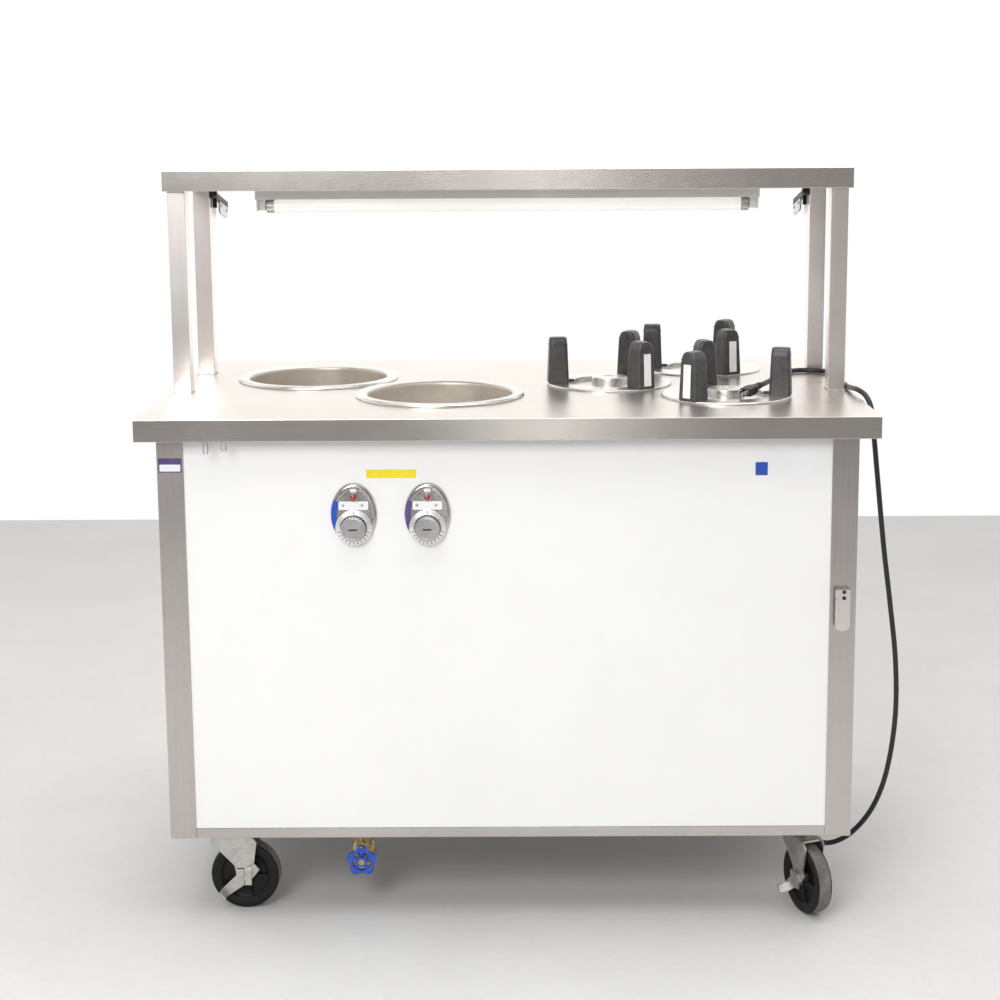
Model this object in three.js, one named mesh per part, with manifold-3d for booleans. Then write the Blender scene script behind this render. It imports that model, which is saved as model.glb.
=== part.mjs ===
// Steam table unit on casters: a stainless counter with two round soup wells and three plate dispensers,
// a cabinet below it and a lit shelf above. Millimetres, +Z up, operator side faces -Y, floor at z = 0.
import * as THREE from 'three';
import * as BufferGeometryUtils from 'three/addons/utils/BufferGeometryUtils.js';
import Module from 'manifold-3d';

const wasm = await Module();
wasm.setup();

// ---- driving dimensions ----
const SHEET = 2;                  // thickness of the folded sheet
const GAP = 0.3;                  // clearance between pieces that touch
const COUNTER = { width: 1270, depth: 740, top: 914, edge: 38 };
const CABINET = { halfWidth: 604, halfDepth: 336, bottom: 153.4, angleLeg: 46, panHeight: 18.3 };
const SHELF = { halfWidth: 629.4, front: -85, back: 218, top: 1325, edge: 37 };
const POST = { side: 31.8, outerX: 622.8, frontY: -73, rearY: 175 };
const LAMP = { x0: -472, x1: 468, y: 30, width: 80, bottom: 1269, plateBottom: 1247 };
const TUBE = { z: 1255.5, r: 12.7 };
const GUARD = { pivotY: 191, pivotZ: 1273, reach: 154, slope: -11, quadrantR: 92 };
const WELL = { flangeR: 155.5, bore: 133, depth: 210, cutoutR: 137, stubBottom: 660.3, stubBore: 9 };
const WELL_SITES = { rear: [-376, 115], front: [-127, -100] };
const DISPENSER = { flangeR: 119, bore: 76, cutoutR: 112.5, flangeTop: 918, bottom: 394, slot: [89, 111.5] };
const DISPENSER_SITES = { a: [191, 34, 184], b: [385, 227, 176], c: [397, -124, 228] };   // x, y, first angle
const GUIDE = { circleR: 99, height: 86.2, half: 20, footReach: 31, footHeight: 5 };
const CARRIER = { r: 74, top: 909, drumR: 34, drumTop: 928, skirtR: 69, skirtLength: 44 };
const SPRING = { r: 45, wire: 2.5, turns: 7 };
const CONTROL_X = { l: -266.5, r: -139 };
const BEZEL = { z: 742, width: 80, height: 110, thick: 6, pilotZ: 772.5 };
const KNOB = { z: 719.5, skirtR: 31.6, capR: 22, length: 20 };
const HOOK = { x0: 566, x1: 592, z0: 533, z1: 607 };
const VALVE = { x: -269, y: -250, z: 92, pipeZ: 230, pipeR: 13, bore: 10, wheelR: 29 };
const CASTER = { x: 520, y: 270, trail: 38, wheelR: 62.5, wheelWidth: 32, plate: 82, race: 12 };
// side, side, heading
const CASTER_SITES = { fl: [-1, -1, -3], fr: [1, -1, -68], rl: [-1, 1, -14], rr: [1, 1, 18] };
const CORD_R = 4.75;
const GLAND = [548, -118];
const PLUG_TAIL = new THREE.Vector3(447, -147, 931);
const PLUG_NOSE = new THREE.Vector3(425.4, -185.5, 928);

const PANEL_TOP = COUNTER.top - SHEET - GAP;
const PANEL_BOTTOM = CABINET.bottom + CABINET.panHeight + GAP;
const PANEL_X = CABINET.halfWidth - SHEET - GAP;
const PANEL_Y = CABINET.halfDepth - SHEET - GAP;
const CORNERS = { fl: [-1, -1], fr: [1, -1], rl: [-1, 1], rr: [1, 1] };

// ---- materials: colour, roughness, metalness ----
const FINISH = {
  steel: [0xb9b4b0, 0.32, 1],
  bright: [0xd0cecb, 0.15, 1],
  zinc: [0xa9aaac, 0.45, 1],
  brass: [0xb8a06a, 0.35, 1],
  pale: [0xeeeeec, 0.45, 0],
  enamel: [0xdddad6, 0.4, 0.1],
  glass: [0xf4f1ee, 0.25, 0],
  black: [0x17171a, 0.5, 0],
  rubber: [0x55565a, 0.7, 0],
  blue: [0x1d5fae, 0.45, 0],
};

function finish(name) {
  const [color, roughness, metalness] = FINISH[name];
  return new THREE.MeshStandardMaterial({ color, roughness, metalness });
}

// ---- solids ----
function solid(geometry) {
  const bare = geometry.clone();
  bare.deleteAttribute('normal');
  bare.deleteAttribute('uv');
  const merged = BufferGeometryUtils.mergeVertices(bare, 1e-5);
  return new wasm.Manifold(new wasm.Mesh({
    numProp: 3,
    vertProperties: new Float32Array(merged.attributes.position.array),
    triVerts: new Uint32Array(merged.index.array),
  }));
}

function geometryOf(manifold) {
  const mesh = manifold.getMesh();
  const geometry = new THREE.BufferGeometry();
  geometry.setAttribute('position', new THREE.BufferAttribute(new Float32Array(mesh.vertProperties), 3));
  geometry.setIndex(new THREE.BufferAttribute(new Uint32Array(mesh.triVerts), 1));
  const flat = geometry.toNonIndexed();
  flat.computeVertexNormals();
  return flat;
}

function box([x0, x1], [y0, y1], [z0, z1], place = null) {
  const geometry = new THREE.BoxGeometry(x1 - x0, y1 - y0, z1 - z0);
  geometry.translate((x0 + x1) / 2, (y0 + y1) / 2, (z0 + z1) / 2);
  if (place) geometry.applyMatrix4(place);
  return solid(geometry);
}

// Cylinder or cone along Z, radius r0 at z0 and r1 at z1.
function rod(r0, [z0, z1], sides, place = null, r1 = r0) {
  const geometry = new THREE.CylinderGeometry(r1, r0, z1 - z0, sides);
  geometry.rotateX(Math.PI / 2);
  geometry.translate(0, 0, (z0 + z1) / 2);
  if (place) geometry.applyMatrix4(place);
  return solid(geometry);
}

// Closed outline of [radius, z] points turned about Z.
function turned(outline, sides, place = null) {
  const closed = [...outline, outline[0]].map(([r, z]) => new THREE.Vector2(r, z));
  const geometry = new THREE.LatheGeometry(closed, sides);
  geometry.rotateX(Math.PI / 2);
  if (place) geometry.applyMatrix4(place);
  return solid(geometry);
}

// Closed XY outline pushed up from z0 to z1.
function plate(outline, [z0, z1], place = null) {
  const shape = new THREE.Shape(outline.map(([x, y]) => new THREE.Vector2(x, y)));
  const geometry = new THREE.ExtrudeGeometry(shape, { depth: z1 - z0, bevelEnabled: false });
  geometry.translate(0, 0, z0);
  if (place) geometry.applyMatrix4(place);
  return solid(geometry);
}

function ellipse(rx, ry, count, cx = 0, cy = 0) {
  return Array.from({ length: count }, (_, i) => {
    const angle = 2 * Math.PI * i / count;
    return [cx + rx * Math.cos(angle), cy + ry * Math.sin(angle)];
  });
}

function arc(r, from, to, count, cx = 0, cy = 0) {
  return Array.from({ length: count + 1 }, (_, i) => {
    const angle = THREE.MathUtils.degToRad(from + (to - from) * i / count);
    return [cx + r * Math.cos(angle), cy + r * Math.sin(angle)];
  });
}

// ---- placements ----
const turnX = (degrees) => new THREE.Matrix4().makeRotationX(THREE.MathUtils.degToRad(degrees));
const turnZ = (degrees) => new THREE.Matrix4().makeRotationZ(THREE.MathUtils.degToRad(degrees));
const shift = (x, y, z = 0) => new THREE.Matrix4().makeTranslation(x, y, z);
const FACING = turnX(90);         // local Z points to the operator, local Y up
const SIDEWAYS = new THREE.Matrix4().makeBasis(
  new THREE.Vector3(0, 1, 0), new THREE.Vector3(0, 0, 1), new THREE.Vector3(1, 0, 0));   // local Z becomes X

const unit = new THREE.Group();

function add(name, shape, finishName, parent = unit) {
  const mesh = new THREE.Mesh(geometryOf(shape), finish(finishName));
  mesh.name = name;
  parent.add(mesh);
  return mesh;
}

function subgroup(x, y, z = 0, degrees = 0, parent = unit) {
  const group = new THREE.Group();
  group.position.set(x, y, z);
  group.rotation.z = THREE.MathUtils.degToRad(degrees);
  parent.add(group);
  return group;
}

// A folded tray with its open side down.
function tray([x0, x1], [y0, y1], [z0, z1]) {
  const inside = box([x0 + SHEET, x1 - SHEET], [y0 + SHEET, y1 - SHEET], [z0 - SHEET, z1 - SHEET]);
  return box([x0, x1], [y0, y1], [z0, z1]).subtract(inside);
}

function counterTop() {
  const halfW = COUNTER.width / 2;
  const halfD = COUNTER.depth / 2;
  const through = [COUNTER.top - 10, COUNTER.top + 10];
  let top = tray([-halfW, halfW], [-halfD, halfD], [COUNTER.top - COUNTER.edge, COUNTER.top]);
  for (const [x, y] of Object.values(WELL_SITES)) {
    top = top.subtract(rod(WELL.cutoutR, through, 28, shift(x, y)));
  }
  for (const [x, y] of Object.values(DISPENSER_SITES)) {
    top = top.subtract(rod(DISPENSER.cutoutR, through, 24, shift(x, y)));
  }
  add('counter_top', top, 'steel');
}

function cabinetPanels() {
  const height = [PANEL_BOTTOM, PANEL_TOP];
  const sideY = PANEL_Y - SHEET - GAP;
  let front = box([-PANEL_X, PANEL_X], [-PANEL_Y, -PANEL_Y + SHEET], height);
  for (const x of Object.values(CONTROL_X)) {
    const hole = shift(x, -PANEL_Y, BEZEL.z).multiply(FACING);
    front = front.subtract(plate(ellipse(31, 43, 16), [-10, 10], hole));
  }
  add('front_panel', front, 'pale');
  add('rear_panel', box([-PANEL_X, PANEL_X], [PANEL_Y - SHEET, PANEL_Y], height), 'pale');
  add('left_panel', box([-PANEL_X, -PANEL_X + SHEET], [-sideY, sideY], height), 'pale');
  add('right_panel', box([PANEL_X - SHEET, PANEL_X], [-sideY, sideY], height), 'pale');
}

// Corner angle with both legs turned in from the corner it covers.
function cornerPost(key, [sx, sy]) {
  const leg = CABINET.angleLeg;
  const height = [CABINET.bottom, PANEL_TOP];
  const ordered = (a, b) => (a < b ? [a, b] : [b, a]);
  const x = sx * CABINET.halfWidth;
  const y = sy * CABINET.halfDepth;
  const across = box(ordered(x, x - sx * leg), ordered(y, y - sy * SHEET), height);
  const along = box(ordered(x, x - sx * SHEET), ordered(y, y - sy * leg), height);
  add(`corner_post_${key}`, across.add(along), 'steel');
}

function basePan() {
  const bottom = CABINET.bottom;
  const half = CASTER.plate / 2;
  const inside = box([-PANEL_X + SHEET, PANEL_X - SHEET], [-PANEL_Y + SHEET, PANEL_Y - SHEET],
    [bottom + SHEET, bottom + 40]);
  let pan = box([-PANEL_X, PANEL_X], [-PANEL_Y, PANEL_Y], [bottom, bottom + CABINET.panHeight]);
  pan = pan.subtract(inside);
  for (const [sx, sy] of Object.values(CORNERS)) {
    const centre = shift(sx * CASTER.x, sy * CASTER.y);
    pan = pan.add(box([-half, half], [-half, half], [bottom - 4, bottom + 0.5], centre));
    pan = pan.add(rod(22, [bottom - CASTER.race, bottom - 3], 16, centre, 26));
  }
  pan = pan.subtract(rod(VALVE.pipeR + 2, [bottom - 20, bottom + 20], 12, shift(VALVE.x, VALVE.y)));
  pan = pan.subtract(rod(CORD_R + 1.3, [bottom - 20, bottom + 20], 10, shift(...GLAND)));
  add('base_pan', pan, 'steel');
}

function overshelf() {
  const { halfWidth, front, back, top, edge } = SHELF;
  add('overshelf', tray([-halfWidth, halfWidth], [front, back], [top - edge, top]), 'steel');
}

// Square tube; the rear ones carry the sneeze-guard quadrant as a welded fin.
function shelfPost(key, [sx, sy]) {
  const x0 = sx > 0 ? POST.outerX - POST.side : -POST.outerX;
  const y0 = sy < 0 ? POST.frontY : POST.rearY;
  const z0 = COUNTER.top + GAP;
  const z1 = SHELF.top - SHEET - GAP;
  const outer = [x0, x0 + POST.side];
  const depth = [y0, y0 + POST.side];
  let post = box(outer, depth, [z0, z1]);
  if (sy > 0) {
    const rootY = y0 + POST.side - 3;
    const finX = sx > 0 ? x0 + 4 : x0 + POST.side - 8;
    const fin = [[rootY, GUARD.pivotZ + 4], [GUARD.pivotY + GUARD.quadrantR, GUARD.pivotZ + 4],
      ...arc(GUARD.quadrantR, -4, -79, 5, GUARD.pivotY, GUARD.pivotZ), [rootY, GUARD.pivotZ - 91]];
    post = post.add(plate(fin, [finX, finX + 4], SIDEWAYS));
  }
  const wall = [SHEET, -SHEET];
  const hollow = box(outer.map((v, i) => v + wall[i]), depth.map((v, i) => v + wall[i]), [z0 - 5, z1 + 5]);
  add(`shelf_post_${key}`, post.subtract(hollow), 'steel');
}

function guardArm(key, side) {
  const inner = side * (POST.outerX - POST.side);
  const x0 = side < 0 ? inner + 0.6 : inner - 8.6;
  const thick = [x0, x0 + 8];
  const tabX = side < 0 ? [x0 + 5, x0 + 8] : [x0, x0 + 3];
  const pivot = new THREE.Group();
  pivot.position.set(0, GUARD.pivotY, GUARD.pivotZ);
  pivot.rotation.x = THREE.MathUtils.degToRad(GUARD.slope);
  unit.add(pivot);
  let arm = box(thick, [0, GUARD.reach], [-5.5, 5.5]);
  arm = arm.add(plate(ellipse(9, 9, 12), thick, SIDEWAYS));
  arm = arm.add(box(thick, [24, 30], [-24, 0]));
  const tip = GUARD.reach - 2;
  const tab = [[60, -5], [tip, -5], [tip, -20], [tip - 8, -29], [76, -29], [60, -20]];
  arm = arm.add(plate(tab, tabX, SIDEWAYS));
  add(`guard_arm_${key}`, arm, 'black', pivot);
}

function lamp() {
  const { x0, x1, y, width, bottom, plateBottom } = LAMP;
  const half = width / 2;
  const top = SHELF.top - SHEET - GAP;
  const inner = half - SHEET;
  const inside = box([x0 + SHEET, x1 - SHEET], [y - inner, y + inner], [bottom + SHEET, top + 5]);
  let housing = box([x0, x1], [y - half, y + half], [bottom, top]).subtract(inside);
  const ends = [[[x0, x0 + SHEET], [x0 + 1, x0 + 15]], [[x1 - SHEET, x1], [x1 - 15, x1 - 1]]];
  for (const [endPlate, socket] of ends) {
    housing = housing.add(box(endPlate, [y - 24, y + 24], [plateBottom, bottom + 1]));
    housing = housing.add(box(socket, [y - 11, y + 11], [plateBottom + 1, bottom + 1]));
  }
  add('lamp_housing', housing, 'enamel');
  const tube = add('lamp_tube', rod(TUBE.r, [x0 + 15.6, x1 - 15.6], 16), 'glass');
  tube.rotation.y = Math.PI / 2;
  tube.position.set(0, y, TUBE.z);
}

// Round well with a rolled flange, an element pan under its floor and an open drain stub.
function soupWell(key, [x, y]) {
  const rim = COUNTER.top + GAP;
  const floor = COUNTER.top - WELL.depth;
  const outline = [
    [WELL.stubBore, WELL.stubBottom], [11.5, WELL.stubBottom], [11.5, floor - 34], [108, floor - 34],
    [112, floor - 1], [126, floor], [135, floor + 14], [135, rim], [WELL.flangeR, rim],
    [WELL.flangeR, rim + 3], [150, rim + 6], [138, rim + 6], [WELL.bore, rim + 1],
    [WELL.bore, floor + 14], [124, floor + 3], [WELL.stubBore, floor + 1],
  ];
  add(`soup_well_${key}`, turned(outline, 28), 'bright', subgroup(x, y));
}

// Round pipe between two points.
function pipe(from, to, r) {
  const start = new THREE.Vector3(...from);
  const run = new THREE.Vector3(...to).sub(start);
  const turn = new THREE.Quaternion().setFromUnitVectors(new THREE.Vector3(0, 0, 1), run.clone().normalize());
  return rod(r, [0, run.length()], 10, new THREE.Matrix4().compose(start, turn, new THREE.Vector3(1, 1, 1)));
}

// Every run of the drain: a drop from each well, two branches, the trunk and the outlet.
function pipework(r, over, openEnd) {
  const [rearX, rearY] = WELL_SITES.rear;
  const [frontX, frontY] = WELL_SITES.front;
  const { x, y, z, pipeZ } = VALVE;
  const top = WELL.stubBottom - GAP + openEnd;
  return [
    pipe([rearX, rearY, top], [rearX, rearY, pipeZ - over], r),
    pipe([frontX, frontY, top], [frontX, frontY, pipeZ - over], r),
    pipe([rearX - over, rearY, pipeZ], [x + over, rearY, pipeZ], r),
    pipe([frontX + over, frontY, pipeZ], [x - over, frontY, pipeZ], r),
    pipe([x, rearY + over, pipeZ], [x, y - over, pipeZ], r),
    pipe([x, y, pipeZ + over], [x, y, z - 34 - openEnd], r),
  ].reduce((joined, run) => joined.add(run));
}

function drainValve() {
  const { x, y, z, pipeR, bore, wheelR } = VALVE;
  const centre = shift(x, y, z);
  const stem = centre.clone().multiply(FACING);
  let body = pipework(pipeR, pipeR - 1, 0);
  body = body.add(rod(20, [-16, 16], 12, centre));
  body = body.add(rod(17, [-34, -24], 6, centre));
  body = body.add(rod(17, [22, 32], 6, centre));
  body = body.add(rod(14, [14, 34], 10, stem, 11));
  body = body.add(rod(4, [30, 58], 8, stem));
  add('drain_valve', body.subtract(pipework(bore, bore, 5)), 'brass');

  const lobed = Array.from({ length: 30 }, (_, i) => {
    const angle = 2 * Math.PI * i / 30;
    const r = wheelR - 3.2 + 3.2 * Math.cos(5 * angle);
    return [r * Math.sin(angle), r * Math.cos(angle)];
  });
  const wheel = plate(lobed, [42, 52]).add(rod(10, [38, 55], 12)).subtract(rod(4.4, [30, 70], 8));
  const mesh = add('valve_handwheel', wheel, 'blue');
  mesh.position.set(x, y, z);
  mesh.rotation.x = Math.PI / 2;
}

// Oval plate on the panel, thermostat body behind it, pilot lamp above, dial below.
function control(key, x) {
  const y = -PANEL_Y - GAP;
  const face = shift(x, y, BEZEL.z).multiply(FACING);
  const shaft = shift(x, y, KNOB.z).multiply(FACING);
  const pilot = shift(x, y, BEZEL.pilotZ).multiply(FACING);
  let bezel = plate(ellipse(BEZEL.width / 2, BEZEL.height / 2, 28), [0, BEZEL.thick], face);
  bezel = bezel.add(plate(ellipse(28, 40, 16), [-6, 1], face));
  bezel = bezel.add(box([x - 27, x + 27], [-PANEL_Y + 4, -PANEL_Y + 64], [BEZEL.z - 38, BEZEL.z + 38]));
  bezel = bezel.add(rod(3, [BEZEL.thick - 1, BEZEL.thick + 12], 8, shaft));
  bezel = bezel.add(rod(7, [BEZEL.thick - 1, BEZEL.thick + 5], 10, pilot, 6));
  add(`control_bezel_${key}`, bezel, 'bright');

  const back = BEZEL.thick + GAP;
  const { skirtR, capR, length } = KNOB;
  const outline = [[0, back + 13], [3.4, back + 13], [3.4, back], [skirtR, back], [skirtR, back + 4],
    [skirtR - 2, back + 6], [capR, back + 6], [capR - 1.5, back + length - 2], [capR - 4, back + length],
    [0, back + length]];
  const knob = add(`control_knob_${key}`, turned(outline, 24), 'zinc');
  knob.position.set(x, y, KNOB.z);
  knob.rotation.x = Math.PI / 2;
}

// Mounting block with a drop plate whose left edge is turned out to hold the cord.
function plugHook() {
  const { x0, x1, z0, z1 } = HOOK;
  const y = -CABINET.halfDepth - GAP;
  const rounded = shift((x0 + x1) / 2, y, z0 + 10).multiply(FACING);
  let hook = box([x0 + 4, x1], [y - 9, y], [z1 - 24, z1]);
  hook = hook.add(box([x0, x1], [y - 12, y - 9], [z0 + 9, z1]));
  hook = hook.add(plate(ellipse(13, 10, 16), [9, 12], rounded));
  hook = hook.add(box([x0, x0 + 3], [y - 21, y - 9], [z0 + 9, z1 - 16]));
  add('plug_hook', hook, 'zinc');
}

class Helix extends THREE.Curve {
  constructor(z0, z1) {
    super();
    this.z0 = z0;
    this.z1 = z1;
  }

  getPoint(t, target = new THREE.Vector3()) {
    const angle = 2 * Math.PI * SPRING.turns * t;
    const z = this.z0 + (this.z1 - this.z0) * t;
    return target.set(SPRING.r * Math.cos(angle), SPRING.r * Math.sin(angle), z);
  }
}

function along(path, r, sides, steps) {
  const section = new THREE.Shape(ellipse(r, r, sides).map(([x, y]) => new THREE.Vector2(x, y)));
  return solid(new THREE.ExtrudeGeometry(section, { steps, bevelEnabled: false, extrudePath: path }));
}

// Tapered post with a rounded top, a low foot towards the plates and a clamp stud through the flange.
function guidePost(name, parent) {
  const { height, half, footReach, footHeight } = GUIDE;
  const front = [[-half, 0], [half, 0], [half - 2.4, 70], [half - 5, 80], [half - 11, height],
    [11 - half, height], [5 - half, 80], [2.4 - half, 70]];
  const side = [[-half, 0], [half, 0], [half - 3.4, height + 1], [3.4 - half, height + 1]];
  const foot = [[-footReach, 0], [-22, -7], [-16, -7], [-16, 7], [-22, 7]];
  const below = DISPENSER.flangeTop + GAP - COUNTER.top + SHEET;
  const depth = [-half - 1, half + 1];
  let post = plate(front, depth, SIDEWAYS).intersect(plate(side, depth, turnX(90)));
  post = post.add(plate(foot, [0, footHeight]));
  post = post.add(rod(3, [-below - 7, 1], 8));
  post = post.add(rod(7, [-below - 7, -below - 1], 6));
  add(name, post, 'black', parent);
}

function dispenser(key, [x, y, firstAngle]) {
  const { flangeR, bore, flangeTop, bottom, slot } = DISPENSER;
  const site = subgroup(x, y);
  const under = COUNTER.top + GAP;
  const wall = bore + 2.5;
  let tube = turned([[30, bottom], [wall, bottom], [wall, under], [flangeR, under],
    [flangeR, flangeTop - 1.5], [flangeR - 2, flangeTop], [bore, flangeTop], [bore, bottom + 3],
    [30, bottom + 3]], 28);
  for (const number of [1, 2, 3]) {
    const angle = firstAngle + 120 * (number - 1);
    tube = tube.subtract(box(slot, [-3.5, 3.5], [under - 5, flangeTop + 5], turnZ(angle)));
    const spoke = subgroup(0, 0, flangeTop + GAP, angle, site);
    guidePost(`guide_post_${key}${number}`, subgroup(GUIDE.circleR, 0, 0, 0, spoke));
  }
  add(`dispenser_tube_${key}`, tube, 'bright', site);

  const { r, top, drumR, drumTop, skirtR, skirtLength } = CARRIER;
  const carrier = [[0, top - 4], [skirtR - 3, top - 4], [skirtR - 3, top - skirtLength],
    [skirtR, top - skirtLength], [skirtR, top - 5], [r, top - 5], [r, top], [drumR, top],
    [drumR, drumTop - 2], [drumR - 2, drumTop], [0, drumTop]];
  add(`plate_carrier_${key}`, turned(carrier, 24), 'bright', site);
  const seat = SPRING.wire + 0.5;
  const coil = along(new Helix(bottom + 3 + seat, top - 4 - seat), SPRING.wire, 5, SPRING.turns * 8);
  add(`carrier_spring_${key}`, coil, 'zinc', site);
}

// Swivel fork with its axle, the wheel on it and, in front, the side brake lever.
function caster(key, [sx, sy, heading]) {
  const { trail, wheelR, wheelWidth } = CASTER;
  const top = CABINET.bottom - CASTER.race - GAP;
  const crown = top - 8;
  const swivel = subgroup(sx * CASTER.x, sy * CASTER.y, 0, heading);
  const cheek = [[-22, top - 14], [-16, top - 5], [54, top - 5], [62, top - 14], [trail + 18, 84],
    [trail + 13, 58], [trail, 51], [trail - 10, 56], [trail - 18, 84]];
  const axle = shift(trail, 0, wheelR).multiply(FACING);
  let fork = rod(23, [crown, top], 16).add(box([-21, 50], [-21, 21], [crown, crown + 3.5]));
  fork = fork.add(plate(cheek, [17.5, 21], FACING)).add(plate(cheek, [-21, -17.5], FACING));
  add(`caster_fork_${key}`, fork.add(rod(5, [-27, 27], 10, axle)), 'zinc', swivel);

  const half = wheelWidth / 2;
  const rim = [[49, 1 - half], [59, -half], [wheelR, 5 - half]];
  const side = [[5.5, -16.7], [16, -16.7], [19, -8], [45, -8], ...rim];
  const mirrored = side.map(([r, z]) => [r, -z]).reverse();
  const wheel = add(`caster_wheel_${key}`, turned([...side, ...mirrored], 22), 'rubber', swivel);
  wheel.position.set(trail, 0, wheelR);
  wheel.rotation.x = Math.PI / 2;

  if (sy < 0) {
    const lever = [[-50, -8], [-14, -11], [14, -11], [32, -7], [32, 7], [14, 11], [-14, 11], [-50, 8]];
    let pedal = plate(lever, [21.4, 24.4]).add(box([-50, -46], [-8, 8], [22, 38]));
    pedal = pedal.subtract(rod(5.4, [10, 40], 10));
    const hub = new THREE.Group();
    hub.position.set(trail, 0, wheelR);
    hub.rotation.x = Math.PI / 2;
    swivel.add(hub);
    add(`brake_pedal_${key}`, pedal, 'zinc', hub).rotation.z = THREE.MathUtils.degToRad(40);
  }
}

// From the gland under the base pan, out past the right side, over the counter edge and round the
// front right shelf post to the plug lying in the nearest dispenser.
const CORD_ROUTE = [
  [548, -118, 150], [548, -118, 126], [549, -119, 100], [557, -121, 74], [576, -125, 57], [601, -130, 53],
  [627, -137, 65], [650, -145, 88], [672, -154, 122], [690, -163, 168], [702, -172, 225], [710, -185, 325],
  [706, -192, 430], [692.5, -195, 540], [679, -195, 640], [667, -195, 745], [657, -193, 840], [653, -188, 884],
  [650, -181, 905], [643, -167, 920], [634, -146, 926], [630.5, -115, 924.5], [629.5, -75, 920.8],
  [629.8, -20, 919.3], [631, 35, 919.2], [631.5, 89.5, 919.2], [630.5, 116.5, 919.2], [623.5, 139, 919.2],
  [607.5, 155, 919.2], [585.5, 161, 919.2], [563.5, 155, 919.2], [547.5, 139, 919.2], [540.5, 116.5, 919.2],
  [537, 78, 920.4], [530.5, 36, 923.6], [521, 4, 927.1], [504, -30, 931.6], [485, -72, 933], [470, -105, 932.6],
  [460, -124, 932],
];

function powerCord() {
  const points = CORD_ROUTE.map((point) => new THREE.Vector3(...point));
  const route = new THREE.CatmullRomCurve3(points, false, 'centripetal');
  add('power_cord', along(route, CORD_R, 8, 80), 'black');

  const bottom = CABINET.bottom;
  const centre = shift(...GLAND);
  let gland = rod(7.5, [bottom - 34, bottom - 7], 12, centre, 13);
  gland = gland.add(rod(18, [bottom - 8, bottom - GAP], 6, centre));
  gland = gland.subtract(rod(CORD_R + 0.6, [bottom - 40, bottom + 10], 12, centre));
  add('cord_gland', gland, 'black');
}

// Local Z runs from the blades to the strain relief.
function powerPlug() {
  const length = PLUG_TAIL.distanceTo(PLUG_NOSE);
  const relief = length + 23;
  const group = new THREE.Group();
  group.position.copy(PLUG_NOSE);
  group.setRotationFromMatrix(new THREE.Matrix4().lookAt(PLUG_TAIL, PLUG_NOSE, new THREE.Vector3(0, 0, 1)));
  unit.add(group);
  let plug = box([-12, 12], [-7.5, 7.5], [0, length - 10]);
  plug = plug.add(rod(7.4, [length - 12, length], 12, null, 6.5));
  plug = plug.add(rod(6.5, [length - 1, relief], 12, null, 5.9));
  for (const x of [-6.35, 6.35]) {
    plug = plug.add(box([x - 0.8, x + 0.8], [-1, 5.5], [-17, 1]));
  }
  plug = plug.add(rod(2.4, [-19, 1], 8, shift(0, -4.5)));
  plug = plug.subtract(rod(CORD_R + 0.4, [length + 4, relief + 10], 12));
  add('power_plug', plug, 'black', group);
}

counterTop();
cabinetPanels();
basePan();
overshelf();
for (const [key, sides] of Object.entries(CORNERS)) {
  cornerPost(key, sides);
  shelfPost(key, sides);
}
guardArm('l', -1);
guardArm('r', 1);
lamp();
for (const [key, site] of Object.entries(WELL_SITES)) soupWell(key, site);
drainValve();
for (const [key, x] of Object.entries(CONTROL_X)) control(key, x);
plugHook();
for (const [key, site] of Object.entries(DISPENSER_SITES)) dispenser(key, site);
for (const [key, site] of Object.entries(CASTER_SITES)) caster(key, site);
powerCord();
powerPlug();

export default unit;
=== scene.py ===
import math

import bmesh
import bpy
from mathutils import Matrix, Vector


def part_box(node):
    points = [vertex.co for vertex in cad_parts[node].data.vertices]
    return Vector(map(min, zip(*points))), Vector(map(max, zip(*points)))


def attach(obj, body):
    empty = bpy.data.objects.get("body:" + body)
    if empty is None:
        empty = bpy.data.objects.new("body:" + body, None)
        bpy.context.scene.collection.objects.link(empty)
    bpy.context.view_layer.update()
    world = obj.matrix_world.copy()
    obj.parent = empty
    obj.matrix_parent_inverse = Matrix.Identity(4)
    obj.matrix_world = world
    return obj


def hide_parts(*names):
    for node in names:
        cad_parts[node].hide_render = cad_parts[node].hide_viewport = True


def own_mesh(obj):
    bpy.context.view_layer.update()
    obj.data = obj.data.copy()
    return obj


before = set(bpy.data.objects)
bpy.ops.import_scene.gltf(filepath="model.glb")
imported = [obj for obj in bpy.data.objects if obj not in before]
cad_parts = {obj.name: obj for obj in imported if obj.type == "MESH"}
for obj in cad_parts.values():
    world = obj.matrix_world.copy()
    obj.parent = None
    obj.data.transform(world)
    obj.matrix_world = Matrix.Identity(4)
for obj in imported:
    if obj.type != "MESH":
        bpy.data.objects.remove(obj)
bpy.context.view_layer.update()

# Shapes are made in millimetres in the frame's own axes, and scaled to metres as each piece is
# finished.
MM = 0.001
FACING = Matrix.Rotation(math.radians(90), 4, "X")      # local Z points to the operator, local Y up
SIDEWAYS = Matrix(((0, 0, 1, 0), (1, 0, 0, 0), (0, 1, 0, 0), (0, 0, 0, 1)))   # local Z becomes X
ROUND = 72                                              # sides of a large round part


def at(x, y, z=0.0):
    return Matrix.Translation((x, y, z))


def turned(degrees, axis="Z"):
    return Matrix.Rotation(math.radians(degrees), 4, axis)


def span(node):
    """Lowest and highest corner of a CAD node, in millimetres."""
    low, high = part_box(node)
    return low / MM, high / MM


def middle(node):
    low, high = span(node)
    return (low + high) / 2


# ---------------------------------------------------------------- camera
CAMERA_AT = Vector((0.0409, -3.318, 1.4113))
CAMERA_FORWARD = Vector((-0.003458, 0.987866, -0.155269))
CAMERA_RIGHT = Vector((0.999994, 0.0035, 0.0))
CAMERA_DOWN = Vector((0.000543, -0.155268, -0.987872))
CAMERA_ROLL = 0.00565
CAMERA_LENS = 63.61                                     # millimetres, on a 36 mm sensor
CAMERA_SHIFT = (-0.0251, -0.1013)


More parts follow.
